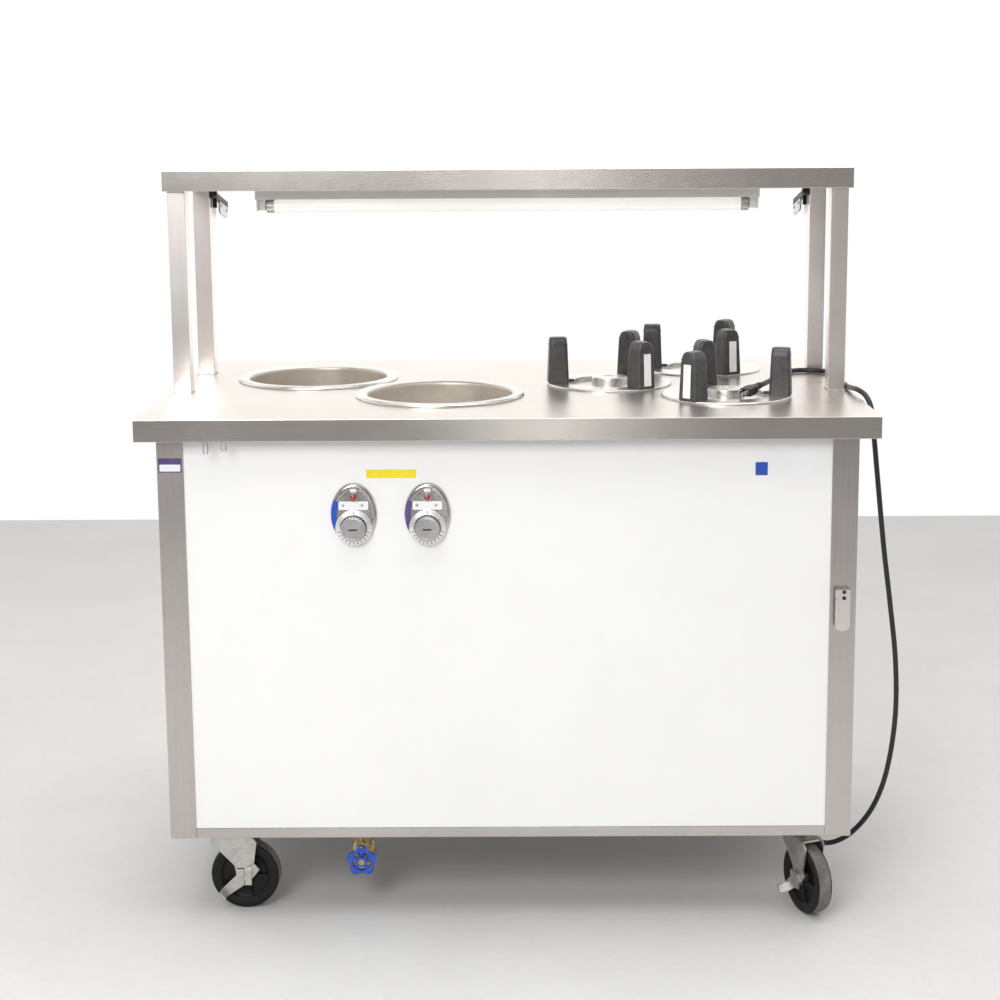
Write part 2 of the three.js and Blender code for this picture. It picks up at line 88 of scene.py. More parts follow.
def make_camera():
    data = bpy.data.cameras.new("camera")
    data.lens = CAMERA_LENS
    data.sensor_width = 36
    data.shift_x, data.shift_y = CAMERA_SHIFT
    camera = bpy.data.objects.new("camera", data)
    right = math.cos(CAMERA_ROLL) * CAMERA_RIGHT + math.sin(CAMERA_ROLL) * CAMERA_DOWN
    down = math.cos(CAMERA_ROLL) * CAMERA_DOWN - math.sin(CAMERA_ROLL) * CAMERA_RIGHT
    axes = Matrix((right, -down, -CAMERA_FORWARD)).transposed()
    camera.matrix_world = Matrix.Translation(CAMERA_AT) @ axes.to_4x4()
    bpy.context.scene.collection.objects.link(camera)
    bpy.context.scene.camera = camera


# ---------------------------------------------------------------- materials
def add_node(tree, kind, inputs=None, **settings):
    made = tree.nodes.new(kind)
    for key, value in settings.items():
        setattr(made, key, value)
    for key, value in (inputs or {}).items():
        made.inputs[key].default_value = value
    return made


def material(name, light, dark, rough, metal, grain, depth, cloud, spread):
    """Object-space finish: a fine grain for bump, and grain mixed with a slow cloud for tone and roughness.
    grain is noise cells per metre along X, Y and Z, depth the grain's height in mm, and cloud the
    cloud's cells per metre. Roughness runs from rough - spread to rough + spread."""
    made = bpy.data.materials.new(name)
    made.use_nodes = True
    tree = made.node_tree
    shader = tree.nodes["Principled BSDF"]
    link = tree.links.new
    place = add_node(tree, "ShaderNodeTexCoord")
    stretch = add_node(tree, "ShaderNodeMapping", {"Scale": grain})
    fine = add_node(tree, "ShaderNodeTexNoise", {"Scale": 1.0, "Detail": 4.0, "Roughness": 0.6})
    slow = add_node(tree, "ShaderNodeTexNoise", {"Scale": cloud, "Detail": 5.0, "Roughness": 0.62})
    link(place.outputs["Object"], stretch.inputs["Vector"])
    link(stretch.outputs["Vector"], fine.inputs["Vector"])
    link(place.outputs["Object"], slow.inputs["Vector"])
    both = add_node(tree, "ShaderNodeMix", {"Factor": 0.35}, data_type="FLOAT")
    link(slow.outputs["Fac"], both.inputs["A"])
    link(fine.outputs["Fac"], both.inputs["B"])
    tone = add_node(tree, "ShaderNodeMapRange", {"From Min": 0.36, "From Max": 0.6})
    link(both.outputs["Result"], tone.inputs["Value"])
    blend = add_node(tree, "ShaderNodeMix", {"A": (*dark, 1), "B": (*light, 1)}, data_type="RGBA")
    link(tone.outputs["Result"], blend.inputs["Factor"])
    link(blend.outputs["Result"], shader.inputs["Base Color"])
    gloss = add_node(tree, "ShaderNodeMapRange", {"From Min": 0.3, "From Max": 0.7,
                                                  "To Min": rough - spread, "To Max": rough + spread})
    link(both.outputs["Result"], gloss.inputs["Value"])
    link(gloss.outputs["Result"], shader.inputs["Roughness"])
    bump = add_node(tree, "ShaderNodeBump", {"Strength": 1.0, "Distance": depth * MM})
    link(fine.outputs["Fac"], bump.inputs["Height"])
    link(bump.outputs["Normal"], shader.inputs["Normal"])
    shader.inputs["Metallic"].default_value = metal
    return made


STEEL_LIGHT = (0.60, 0.56, 0.53)
STEEL_DARK = (0.50, 0.46, 0.435)
ALONG_X = (4, 1400, 1400)
ALONG_Z = (1400, 1400, 4)
TURNED = (40, 40, 1100)
LOOKS = {}
for look, *values in (
    ("steel_x", STEEL_LIGHT, STEEL_DARK, 0.26, 1, ALONG_X, 0.007, 2.5, 0.06),
    ("steel_z", STEEL_LIGHT, STEEL_DARK, 0.30, 1, ALONG_Z, 0.007, 2.5, 0.06),
    # edge: the counter steel made darker for the turned-down faces of the counter and shelf, a painted shade
    # on the same sheet
    ("edge", (0.66, 0.62, 0.585), (0.58, 0.54, 0.50), 0.26, 1, ALONG_X, 0.006, 1.6, 0.05),
    ("post", (0.86, 0.81, 0.78), (0.76, 0.71, 0.68), 0.34, 1, ALONG_Z, 0.007, 2.5, 0.06),
    ("counter", (0.80, 0.755, 0.71), (0.68, 0.635, 0.59), 0.31, 1, ALONG_X, 0.006, 3.5, 0.07),
    ("spun", (0.84, 0.815, 0.79), (0.70, 0.67, 0.64), 0.27, 1, TURNED, 0.006, 9, 0.06),
    ("disc", (0.88, 0.86, 0.84), (0.76, 0.74, 0.71), 0.36, 1, (120, 120, 120), 0.01, 14, 0.07),
    ("well_inside", (0.72, 0.665, 0.59), (0.56, 0.51, 0.44), 0.42, 0.55, TURNED, 0.008, 11, 0.09),
    ("zinc", (0.66, 0.645, 0.615), (0.47, 0.455, 0.425), 0.40, 1, (160, 160, 160), 0.05, 45, 0.10),
    ("brass", (0.70, 0.54, 0.27), (0.45, 0.33, 0.16), 0.38, 1, (220, 220, 220), 0.06, 40, 0.12),
    ("bezel", (0.60, 0.57, 0.56), (0.44, 0.42, 0.41), 0.24, 1, (500, 500, 500), 0.01, 30, 0.08),
    ("dial", (0.56, 0.545, 0.54), (0.44, 0.43, 0.425), 0.34, 0.9, (40, 900, 900), 0.01, 30, 0.08),
    ("skirt", (0.92, 0.91, 0.90), (0.78, 0.77, 0.76), 0.28, 0.6, (400, 400, 400), 0.01, 30, 0.08),
    ("pale", (0.95, 0.95, 0.945), (0.91, 0.91, 0.905), 0.36, 0, (500, 500, 500), 0.02, 2.2, 0.07),
    ("enamel", (0.86, 0.85, 0.83), (0.76, 0.75, 0.73), 0.35, 0, (400, 400, 400), 0.03, 12, 0.08),
    ("tube", (0.95, 0.94, 0.92), (0.90, 0.89, 0.87), 0.2, 0, (60, 500, 500), 0.01, 8, 0.05),
    ("moulded", (0.070, 0.066, 0.068), (0.042, 0.040, 0.041), 0.36, 0, (700, 700, 700), 0.05, 60, 0.10),
    ("black", (0.03, 0.03, 0.032), (0.012, 0.012, 0.013), 0.45, 0, (600, 600, 600), 0.05, 50, 0.10),
    ("jacket", (0.022, 0.022, 0.024), (0.012, 0.012, 0.013), 0.48, 0, (900, 900, 900), 0.04, 30, 0.08),
    ("tread", (0.20, 0.185, 0.17), (0.10, 0.092, 0.085), 0.6, 0, (250, 250, 250), 0.08, 30, 0.10),
    ("clear", (0.80, 0.80, 0.79), (0.74, 0.74, 0.73), 0.22, 0, (300, 300, 300), 0.01, 20, 0.06),
    ("tyre", (0.008, 0.0078, 0.0075), (0.004, 0.0038, 0.0038), 0.5, 0, (350, 350, 350), 0.06, 35, 0.12),
    ("handle", (0.03, 0.12, 0.58), (0.012, 0.055, 0.38), 0.33, 0, (300, 300, 300), 0.04, 50, 0.08),
    ("white", (0.9, 0.9, 0.89), (0.8, 0.8, 0.79), 0.45, 0, (600, 600, 600), 0.03, 40, 0.08),
    ("lens", (0.42, 0.02, 0.03), (0.25, 0.01, 0.015), 0.18, 0, (300, 300, 300), 0.01, 60, 0.04),
    ("yellow", (0.93, 0.80, 0.03), (0.85, 0.70, 0.02), 0.45, 0, (400, 400, 400), 0.02, 30, 0.08),
    ("blue", (0.02, 0.09, 0.50), (0.012, 0.06, 0.38), 0.4, 0, (400, 400, 400), 0.02, 40, 0.08),
    ("violet", (0.13, 0.09, 0.26), (0.08, 0.05, 0.18), 0.4, 0, (400, 400, 400), 0.02, 40, 0.08),
    ("label", (0.93, 0.935, 0.945), (0.88, 0.885, 0.90), 0.4, 0, (400, 400, 400), 0.02, 20, 0.08),
    ("floor", (0.62, 0.62, 0.62), (0.58, 0.58, 0.58), 0.75, 0, (60, 60, 60), 0.1, 3, 0.05),
):
    LOOKS[look] = material(look, *values)
for look, weight in (("enamel", 0.3), ("tube", 0.6), ("handle", 0.2), ("lens", 0.8)):
    shader = LOOKS[look].node_tree.nodes["Principled BSDF"]
    shader.inputs["Coat Weight"].default_value = weight
    shader.inputs["Coat Roughness"].default_value = 0.12
for look in ("tyre", "black"):
    LOOKS[look].node_tree.nodes["Principled BSDF"].inputs["Specular IOR Level"].default_value = 0.3
see_through = LOOKS["clear"].node_tree.nodes["Principled BSDF"]
see_through.inputs["Transmission Weight"].default_value = 0.75
glow = LOOKS["tube"].node_tree.nodes["Principled BSDF"]
glow.inputs["Emission Color"].default_value = (1.0, 0.985, 0.96, 1)
glow.inputs["Emission Strength"].default_value = 0.35


# ---------------------------------------------------------------- shapes
def soften(part, width, steps=2, angle=25):
    """Rounds every edge where the faces turn by more than the angle."""
    if width:
        sharp = [e for e in part.edges
                 if len(e.link_faces) == 2 and e.calc_face_angle() > math.radians(angle)]
        bmesh.ops.bevel(part, geom=sharp, offset=width, segments=steps, profile=0.5, affect="EDGES",
                        clamp_overlap=True)
    return part


def loft(loops, closed=False):
    """Skin through loops of equal count; the ends are capped unless it closes on itself."""
    part = bmesh.new()
    rows = [[part.verts.new(p) for p in loop] for loop in loops]
    count = len(rows[0])
    for a, b in zip(rows, rows[1:] + ([rows[0]] if closed else [])):
        for i in range(count):
            j = (i + 1) % count
            part.faces.new((a[i], a[j], b[j], b[i]))
    if not closed:
        part.faces.new(list(reversed(rows[0])))
        part.faces.new(rows[-1])
    return part


def lathe(outline, sides=ROUND, closed=True):
    """Outline of (radius, z) points turned about Z. Points on the axis meet in one."""
    loops = []
    for i in range(sides):
        angle = 2 * math.pi * i / sides
        loops.append([(r * math.cos(angle), r * math.sin(angle), z) for r, z in outline])
    part = bmesh.new()
    rows = [[part.verts.new(p) for p in loop] for loop in loops]
    count = len(outline)
    for i, a in enumerate(rows):
        b = rows[(i + 1) % sides]
        for k in range(count if closed else count - 1):
            m = (k + 1) % count
            if outline[k][0] < 1e-6 and outline[m][0] < 1e-6:
                continue
            part.faces.new((a[k], b[k], b[m], a[m]))
    bmesh.ops.remove_doubles(part, verts=part.verts, dist=1e-4)
    return part


def mirrored(outline):
    """Outline of (radius, z) points followed by its own mirror image in z = 0."""
    return [*outline, *[(r, -z) for r, z in reversed(outline)]]


def prism(outline, z0, z1, width=0.0, steps=2, angle=25):
    ends = [[(x, y, z) for x, y in outline] for z in (z0, z1)]
    return soften(loft(ends), width, steps, angle)


def block(x, y, z, width=0.6, steps=2):
    return prism([(x[0], y[0]), (x[1], y[0]), (x[1], y[1]), (x[0], y[1])], z[0], z[1], width, steps)


def ellipse(rx, ry, count=ROUND, cx=0.0, cy=0.0):
    return [(cx + rx * math.cos(2 * math.pi * i / count), cy + ry * math.sin(2 * math.pi * i / count))
            for i in range(count)]


def rounded(hx, hy, corner, count=5):
    """Rectangle of those half sizes with round corners."""
    points = []
    for cx, cy, start in ((1, 1, 0), (-1, 1, 90), (-1, -1, 180), (1, -1, 270)):
        for i in range(count + 1):
            angle = math.radians(start + 90 * i / count)
            points.append((cx * (hx - corner) + corner * math.cos(angle),
                           cy * (hy - corner) + corner * math.sin(angle)))
    return points


def sweep(points, radius, sides=16):
    """Round bar along a polyline, turned as little as possible from point to point."""
    points = [Vector(p) for p in points]
    loops = []
    normal = None
    for i, here in enumerate(points):
        ahead = (points[min(i + 1, len(points) - 1)] - points[max(i - 1, 0)]).normalized()
        if normal is None:
            normal = ahead.orthogonal()
        normal = (normal - normal.dot(ahead) * ahead).normalized()
        across = ahead.cross(normal)
        loops.append([here + radius * (math.cos(a) * normal + math.sin(a) * across)
                      for a in (2 * math.pi * k / sides for k in range(sides))])
    return loft(loops)


def bolt(radius, height, washer=1.5):
    """Hexagon head on a round washer, standing on z = 0."""
    return [lathe([(0, 0), (radius * 1.55, 0), (radius * 1.55, washer * 0.7), (radius * 1.4, washer),
                   (0, washer)], 28),
            prism(ellipse(radius * 1.15, radius * 1.15, 6), washer - 0.2, washer + height, radius * 0.12)]


def screw(radius, height=1.6):
    """Pan-head screw, standing on z = 0."""
    return lathe([(0, 0), (radius, 0), (radius, height * 0.35), (radius * 0.8, height * 0.8),
                  (radius * 0.45, height), (0, height)], 24)


def placed(parts, matrix):
    for part in parts:
        bmesh.ops.transform(part, matrix=matrix, verts=part.verts)
    return parts


def joined(parts):
    """One solid holding the given ones, which are used up."""
    whole = bmesh.new()
    for part in parts:
        scrap = bpy.data.meshes.new("scrap")
        part.to_mesh(scrap)
        part.free()
        whole.from_mesh(scrap)
        bpy.data.meshes.remove(scrap)
    return whole


def piece(name, parts, body, look, stands_for=(), place=None, crease=32):
    """One named object made of the given solids, riding on a body."""
    mesh = bpy.data.meshes.new(name)
    whole = joined(parts)
    if place is not None:
        bmesh.ops.transform(whole, matrix=place, verts=whole.verts)
    bmesh.ops.scale(whole, vec=(MM, MM, MM), verts=whole.verts)
    bmesh.ops.recalc_face_normals(whole, faces=whole.faces)
    for face in whole.faces:
        face.smooth = True
    for edge in whole.edges:
        if len(edge.link_faces) == 2 and edge.calc_face_angle() > math.radians(crease):
            edge.smooth = False
    whole.to_mesh(mesh)
    whole.free()
    made = bpy.data.objects.new(name, mesh)
    bpy.context.scene.collection.objects.link(made)
    mesh.materials.append(LOOKS[look])
    weighted = made.modifiers.new("weighted", "WEIGHTED_NORMAL")
    weighted.keep_sharp = True
    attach(made, body)
    if stands_for:
        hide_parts(*stands_for)
    return made


def from_cad(node, width, steps=2, angle=25):
    """Copy of a CAD solid, in millimetres, with its flat faces joined and its edges rounded. Faces that run
    round an opening are cut up again, because they would be drawn across it."""
    part = bmesh.new()
    part.from_mesh(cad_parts[node].data)
    bmesh.ops.scale(part, vec=(1 / MM,) * 3, verts=part.verts)
    bmesh.ops.remove_doubles(part, verts=part.verts, dist=0.01)
    bmesh.ops.dissolve_limit(part, angle_limit=math.radians(0.5), verts=part.verts, edges=part.edges)
    soften(part, width, steps, angle)
    bmesh.ops.triangulate(part, faces=[face for face in part.faces if len(face.verts) > 4])
    return part


def rounded_cad(name, node, look, width=0.8, body="cabinet", steps=2, extra=(), angle=25):
    return piece(name, [from_cad(node, width, steps, angle), *extra], body, look, [node])


# ---------------------------------------------------------------- cord
CORD_RADIUS = 0.00475
CORD_ROUTE = [
    (548, -118, 150), (548, -118, 126), (549, -119, 100), (557, -121, 74), (576, -125, 57), (601, -130, 53),
    (627, -137, 65), (650, -145, 88), (672, -154, 122), (690, -163, 168), (702, -172, 225), (710, -185, 325),
    (706, -192, 430), (692.5, -195, 540), (679, -195, 640), (667, -195, 745), (657, -193, 840),
    (653, -188, 884),
    (650, -181, 905), (643, -167, 920), (634, -146, 926), (630.5, -115, 924.5), (629.5, -75, 920.8),
    (629.8, -20, 919.3), (631, 35, 919.2), (631.5, 89.5, 919.2), (630.5, 116.5, 919.2), (623.5, 139, 919.2),
    (607.5, 155, 919.2), (585.5, 161, 919.2), (563.5, 155, 919.2), (547.5, 139, 919.2), (540.5, 116.5, 919.2),
    (537, 78, 920.4), (530.5, 36, 923.6), (521, 4, 927.1), (504, -30, 931.6), (485, -72, 933),
    (470, -105, 932.6),
    (460, -124, 932),
]
PLUG_NOSE = Vector((425.4, -185.5, 928))
PLUG_TAIL = Vector((447, -147, 931))


def smooth_route(points, steps=6):
    """Centripetal Catmull-Rom curve through the points."""
    knots = [Vector(p) for p in points]
    knots = [2 * knots[0] - knots[1], *knots, 2 * knots[-1] - knots[-2]]
    route = []
    for a, b, c, d in zip(knots, knots[1:], knots[2:], knots[3:]):
        before, between, after = ((q - p).length ** 0.5 for p, q in ((a, b), (b, c), (c, d)))
        start = ((b - a) / before - (c - a) / (before + between) + (c - b) / between) * between
        end = ((c - b) / between - (d - b) / (between + after) + (d - c) / after) * between
        for k in range(steps):
            t = k / steps
            route.append(b + start * t + (3 * (c - b) - 2 * start - end) * t * t
                         + (2 * (b - c) + start + end) * t ** 3)
    return [*route, knots[-2]]


def make_cord():
    data = bpy.data.curves.new("mains_cord", "CURVE")
    data.dimensions = "3D"
    data.bevel_depth = CORD_RADIUS
    data.bevel_resolution = 5
    data.use_fill_caps = True
    route = smooth_route(CORD_ROUTE)
    line = data.splines.new("POLY")
    line.points.add(len(route) - 1)
    for point, here in zip(line.points, route):
        point.co = (*(here * MM), 1)
    line.use_smooth = True
    data.materials.append(LOOKS["jacket"])
    cord = bpy.data.objects.new("mains_cord", data)
    bpy.context.scene.collection.objects.link(cord)
    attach(cord, "cabinet")
    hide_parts("power_cord")
    return cord


def make_plug():
    """Moulded plug with blades, earth pin and a ribbed sleeve; local Z runs from the blades to the sleeve."""
    length = (PLUG_TAIL - PLUG_NOSE).length
    back = (PLUG_TAIL - PLUG_NOSE).normalized()
    right = Vector((0, 0, 1)).cross(back).normalized()
    place = Matrix.Translation(PLUG_NOSE) @ Matrix((right, back.cross(right), back)).transposed().to_4x4()
    sections = [(10.6, 6.2, 2.5, 0), (11.7, 7.2, 3.2, 1.2), (12, 7.5, 3.6, 4), (12, 7.5, 3.6, length - 20),
                (11.2, 7.4, 4.5, length - 13), (9.2, 7.2, 5.8, length - 7), (7.5, 7, 6.6, length - 2),
                (6.9, 6.9, 6.8, length)]
    body = [loft([[(x, y, z) for x, y in rounded(hx, hy, corner)] for hx, hy, corner, z in sections])]
    sleeve = [(5.2, length - 1), (6.9, length - 1)]
    for i in range(6):
        z = length + 0.5 + 3.7 * i
        r = 6.9 - 0.16 * i
        sleeve += [(r, z), (r, z + 2.2), (r - 1.1, z + 2.6), (r - 1.1, z + 3.3)]
    sleeve += [(5.7, length + 23), (5.2, length + 23)]
    body.append(lathe(sleeve, 32))
    plug = piece("mains_plug", body, "cabinet", "black", ["power_plug"], place)
    blades = [block((x - 0.8, x + 0.8), (-1, 5.5), (-17, 1), 0.25) for x in (-6.35, 6.35)]
    blades.append(lathe([(0, 1), (2.4, 1), (2.4, -17.6), (1.6, -18.9), (0, -19)], 20))
    pins = piece("plug_blades", blades, "cabinet", "zinc", place=place)
    return [plug, pins]


def make_gland():
    """Tapered strain relief with a hexagon nut, hanging from the base pan around the cord."""
    low, high = span("cord_gland")
    x, y = middle("cord_gland").xy
    r = CORD_RADIUS / MM
    outline = [(r + 0.15, high.z), (13, high.z), (13, high.z - 7)]
    for i in range(5):
        z = high.z - 8 - 4.2 * i
        wide = 12.4 - 1.15 * i
        outline += [(wide, z), (wide - 0.4, z - 2.2), (wide - 1.6, z - 2.7), (wide - 1.7, z - 3.6)]
    outline += [(r + 1.1, low.z), (r + 0.15, low.z)]
    nut = prism(ellipse(17.6, 17.6, 6), high.z - 7.4, high.z, 0.9)
    cut = lathe([(8, high.z - 7.4), (13, high.z - 7.4), (13, high.z), (8, high.z)], 32)
    piece("cord_relief", [lathe(outline, 40), nut, cut], "cabinet", "black", ["cord_gland"],
          at(x, y))


make_camera()
cord = make_cord()
plug_parts = make_plug()
make_gland()


# ---------------------------------------------------------------- counter, cabinet and shelf
CORNERS = {"fl": (-1, -1), "fr": (1, -1), "rl": (-1, 1), "rr": (1, 1)}
POST_HALF = 15.9        # half the side of the square shelf posts
POST_WELD = 16.2        # distance of the weld at their foot from their axis
TURNED_EDGE = 0.6       # faces of a folded sheet that look up or down less than this are its edges, which get a darker copy of the sheet's colour as painted shade


def weld_bead(start, end, radius=1.1, pitch=2.2):
    """Row of overlapping weld ripples between two points."""
    start, end = Vector(start), Vector(end)
    count = max(2, int((end - start).length / pitch))
    loops = []
    points = [start.lerp(end, i / (2 * count)) for i in range(2 * count + 1)]
    ahead = (end - start).normalized()
    normal = ahead.orthogonal()
    across = ahead.cross(normal)
    for i, here in enumerate(points):
        r = radius * (1.0 if i % 2 else 0.78)
        loops.append([here + r * (math.cos(a) * normal + math.sin(a) * across)
                      for a in (2 * math.pi * k / 8 for k in range(8))])
    return loft(loops)


def second_look(made, look, test):
    """Gives the faces that pass the test another look."""
    made.data.materials.append(LOOKS[look])
    for face in made.data.polygons:
        if test(face):
            face.material_index = 1


def make_cabinet():
    """Counter, shelf and its posts, base pan, panels and corner angles."""
    counter = rounded_cad("counter_sheet", "counter_top", "counter", 1.6, steps=3)
    shelf = rounded_cad("shelf_sheet", "overshelf", "counter", 1.6, steps=3)
    for sheet in (counter, shelf):
        # The upright faces of each sheet get the darker edge colour: painted shade.
        second_look(sheet, "edge", lambda face: abs(face.normal.z) < TURNED_EDGE)
    rounded_cad("pan_sheet", "base_pan", "steel_x", 0.8)
    for side in ("front", "rear", "left", "right"):
        rounded_cad(f"{side}_skin", f"{side}_panel", "pale", 0.5)
    for key in CORNERS:
        rounded_cad(f"corner_angle_{key}", f"corner_post_{key}", "steel_z", 0.9, steps=3)
        low, high = span(f"shelf_post_{key}")
        x, y = (low.x + high.x) / 2, low.y + POST_HALF
        z = span("counter_top")[1].z
        foot = []
        for sx, sy in ((-1, -1), (1, -1), (1, 1), (-1, 1)):
            start = (x + POST_WELD * sx, y + POST_WELD * sy, z + 0.9)
            end = (x - POST_WELD * sy, y + POST_WELD * sx, z + 0.9)
            foot.append(weld_bead(start, end))
        rounded_cad(f"shelf_tube_{key}", f"shelf_post_{key}", "post", 1.2, steps=3)
        piece(f"post_weld_{key}", foot, "cabinet", "zinc")


make_cabinet()


# ---------------------------------------------------------------- fittings on the cabinet
def label(name, x, z, y, look, thick=0.35, corner=1.0, place=None):
    """Thin sticker between the given X and Z edges, standing on the face at that y."""
    cx, cz = sum(x) / 2, sum(z) / 2
    outline = rounded((x[1] - x[0]) / 2, (z[1] - z[0]) / 2, corner)
    spot = (place or at(cx, y, cz)) @ FACING
    return piece(name, [prism(outline, 0, thick, 0.1)], "cabinet", look, place=spot)


def make_labels():
    panel = span("front_panel")[0].y
    label("strip_label", (-244, -158), (805, 820), panel, "yellow")
    label("plate_label", (424, 537), (807, 860), panel, "label", 0.3, 2)
    label("plate_label_mark", (426, 447), (807, 830), panel - 0.3, "blue", 0.25)
    post = span("corner_post_fl")[0].y
    label("post_label", (-601, -561), (817, 842), post, "violet", 0.3)
    label("post_label_edge", (-599, -563), (819, 831), post - 0.3, "label", 0.2)


def make_clips():
    """Bent wire clips hanging from the turned-down edge of the counter."""
    edge = span("counter_top")
    y, z = edge[0].y + 12, edge[0].z
    for number, (x, tall) in enumerate(((-513, 22), (-482, 16))):
        wire = [(x - 3.5, y - 9, z + 12), (x - 3.5, y - 9.5, z), (x - 3.4, y - 9.5, z - tall + 5),
                (x - 2.4, y - 9.5, z - tall + 1), (x, y - 9.5, z - tall), (x + 2.4, y - 9.5, z - tall + 1),
                (x + 3.6, y - 9.5, z - tall + 5), (x + 3.5, y - 9.5, z - 8), (x + 3.5, y - 8, z - 2),
                (x + 3.5, y - 5, z - 4), (x + 3.5, y - 4.5, z - 16)]
        piece(f"edge_clip_{number + 1}", [sweep(smooth_route(wire, 4), 1.1, 10)], "cabinet", "zinc")


def make_hook():
    """Cord and plug holder on the right corner post."""
    front = span("plug_hook")[0].y
    heads = []
    for x, z in ((581, 603), (581, 592)):
        heads += placed([screw(3.4, 1.8)], at(x, front + 9, z) @ FACING)
    rounded_cad("hook_plate", "plug_hook", "post", 0.7)
    piece("hook_screws", heads, "cabinet", "black")


def control_marks(radius_in, radius_out, angles, z0, z1, wide):
    """Short raised bars round a dial."""
    bars = []
    for angle in angles:
        bars += placed([block((radius_in, radius_out), (-wide, wide), (z0, z1), 0.08)], turned(angle))
    return bars


def make_controls():
    """Both oval plates with their band, pilot lamp and thermostat case, and the dials."""
    for key in "lr":
        low, high = span(f"control_bezel_{key}")
        knob_low, knob_high = span(f"control_knob_{key}")
        x = (knob_low.x + knob_high.x) / 2
        knob_z = (knob_low.z + knob_high.z) / 2
        z = (low.z + high.z) / 2
        y = span("front_panel")[0].y - 0.3
        face = at(x, y, z) @ FACING
        body = f"dial_{'left' if key == 'l' else 'right'}"

        steps = ((1.0, 0), (1.0, 1.4), (0.99, 2.6), (0.965, 4.1), (0.925, 5.4), (0.885, 6.0), (0.84, 6.0),
                 (0.82, 5.3), (0.8, 5.0))
        plate = loft([[(px * s, py * s, h) for px, py in ellipse(40, 55)] for s, h in steps])
        case = block((x - 27, x + 27), (y + 4.3, y + 64), (z - 38, z + 38), 1.5)
        piece(f"control_plate_{key}", [plate], "cabinet", "bezel", [f"control_bezel_{key}"],
              face)
        piece(f"thermostat_case_{key}", [case], "cabinet", "zinc")
        band = [prism(rounded(25.5, 7.2, 2.5), 4.8, 7.0, 0.5)]
        piece(f"control_band_{key}", band, "cabinet", "label", place=face @ at(0, 16))
        heads = placed([screw(2.6, 1.2)], at(-18, 1, 6.9)) + placed([screw(2.6, 1.2)], at(15, 1, 6.9))
        piece(f"control_screws_{key}", heads, "cabinet", "dial", place=face @ at(0, 16))
        lens = lathe([(0, 11), (2.2, 10.8), (4, 9.8), (4.9, 8.0), (4.9, 5.0), (0, 5.0)], 28)
        ring = lathe([(5.0, 5.0), (7.4, 5.0), (7.4, 6.2), (6.6, 7.4), (5.0, 7.4)], 36)
        piece(f"pilot_lens_{key}", [lens], "cabinet", "lens", place=face @ at(0, 30.5))
        piece(f"pilot_ring_{key}", [ring], "cabinet", "bezel", place=face @ at(0, 30.5))
        tag = prism(rounded(5.5, 3.6, 0.8), 4.9, 5.7, 0.15)
        piece(f"pilot_tag_{key}", [tag], "cabinet", "white", place=face @ at(0, 43))
        tape = [(40 * s * math.cos(a), 55 * s * math.sin(a)) for s, sweep_angles in
                ((0.97, range(150, 212, 4)), (0.72, range(208, 146, -4)))
                for a in (math.radians(v) for v in sweep_angles)]
        colour = "blue" if key == "l" else "violet"
        piece(f"control_tape_{key}", [prism(tape, 4.6, 6.3, 0.1)], "cabinet", colour,
              place=face)

        dial = at(x, y, knob_z) @ FACING
        # Black ring where the cap sits in the skirt: a painted shadow between the two parts.
        shadow_ring = lathe([(20.4, 10), (23.2, 10), (23.2, 12.9), (22.4, 13.2), (20.4, 13.2)], 96)
        piece(f"dial_groove_{key}", [shadow_ring], body, "black", place=dial)
        skirt = lathe([(3.4, 6.4), (31.2, 6.4), (31.6, 7.2), (31.4, 8.8), (29.5, 10.6), (23.5, 12.4),
                       (21.0, 12.4), (21.0, 10), (3.4, 10)], 96)
        piece(f"dial_skirt_{key}", [skirt], body, "skirt", [f"control_knob_{key}"], dial)
        grip = []
        for i in range(96):
            a = 2 * math.pi * i / 96
            grip.append((a, 22.0 if i % 4 in (0, 1) else 21.2))
        rows = [[((r + d) * math.cos(a), (r + d) * math.sin(a), h) for a, r in grip]
                for d, h in ((-0.6, 10.2), (0, 11), (0, 22.5), (-0.8, 24), (-2.2, 25.2))]
        rim = lathe([(0, 24), (19.6, 24), (19.6, 25.6), (19.0, 26.3), (17.0, 26.3), (16.4, 25.7), (0, 25.7)],
                    72)
        piece(f"dial_cap_{key}", [loft(rows), rim], body, "dial", place=dial)
        bars = control_marks(24.6, 29.0, range(195, 346, 15), 10.9, 12.3, 0.45)
        bars += control_marks(24.6, 30.0, (90,), 10.6, 12.5, 0.9)
        bars.append(prism(rounded(7.5, 1.3, 0.5), 25.6, 26.2, 0.1))
        piece(f"dial_marks_{key}", bars, body, "black", place=dial)


def make_lamp():
    """Strip light under the shelf: its case, glass tube and end caps."""
    rounded_cad("lamp_case", "lamp_housing", "enamel", 0.7)
    low, high = span("lamp_tube")
    y, z, r = (low.y + high.y) / 2, (low.z + high.z) / 2, (high.z - low.z) / 2
    half = (high.x - low.x) / 2
    axis = at((low.x + high.x) / 2, y, z) @ SIDEWAYS
    shoulder = ((0.55, 14), (0.8, 14.3), (0.94, 15), (1.0, 16.5))
    glass = [(r * s, d - half) for s, d in shoulder] + [(r * s, half - d) for s, d in reversed(shoulder)]
    glass = [(0, glass[0][1]), *glass, (0, glass[-1][1])]
    piece("lamp_glass", [lathe(glass, 48, closed=False)], "cabinet", "tube", ["lamp_tube"],
          axis)
    caps = []
    for end in (-1, 1):
        rim = [(0, half), (r * 0.8, half), (r * 0.98, half - 1.2), (r * 1.0, half - 3), (r * 1.0, half - 15),
               (r * 0.9, half - 16.5), (0, half - 16.5)]
        caps.append(lathe([(a, b * end) for a, b in rim], 48))
    piece("lamp_caps", caps, "cabinet", "zinc", place=axis)


GUARD_PIVOT = (191, 1273)   # Y and Z of the arms' hinge line
GUARD_SLOPE = -11           # degrees at rest


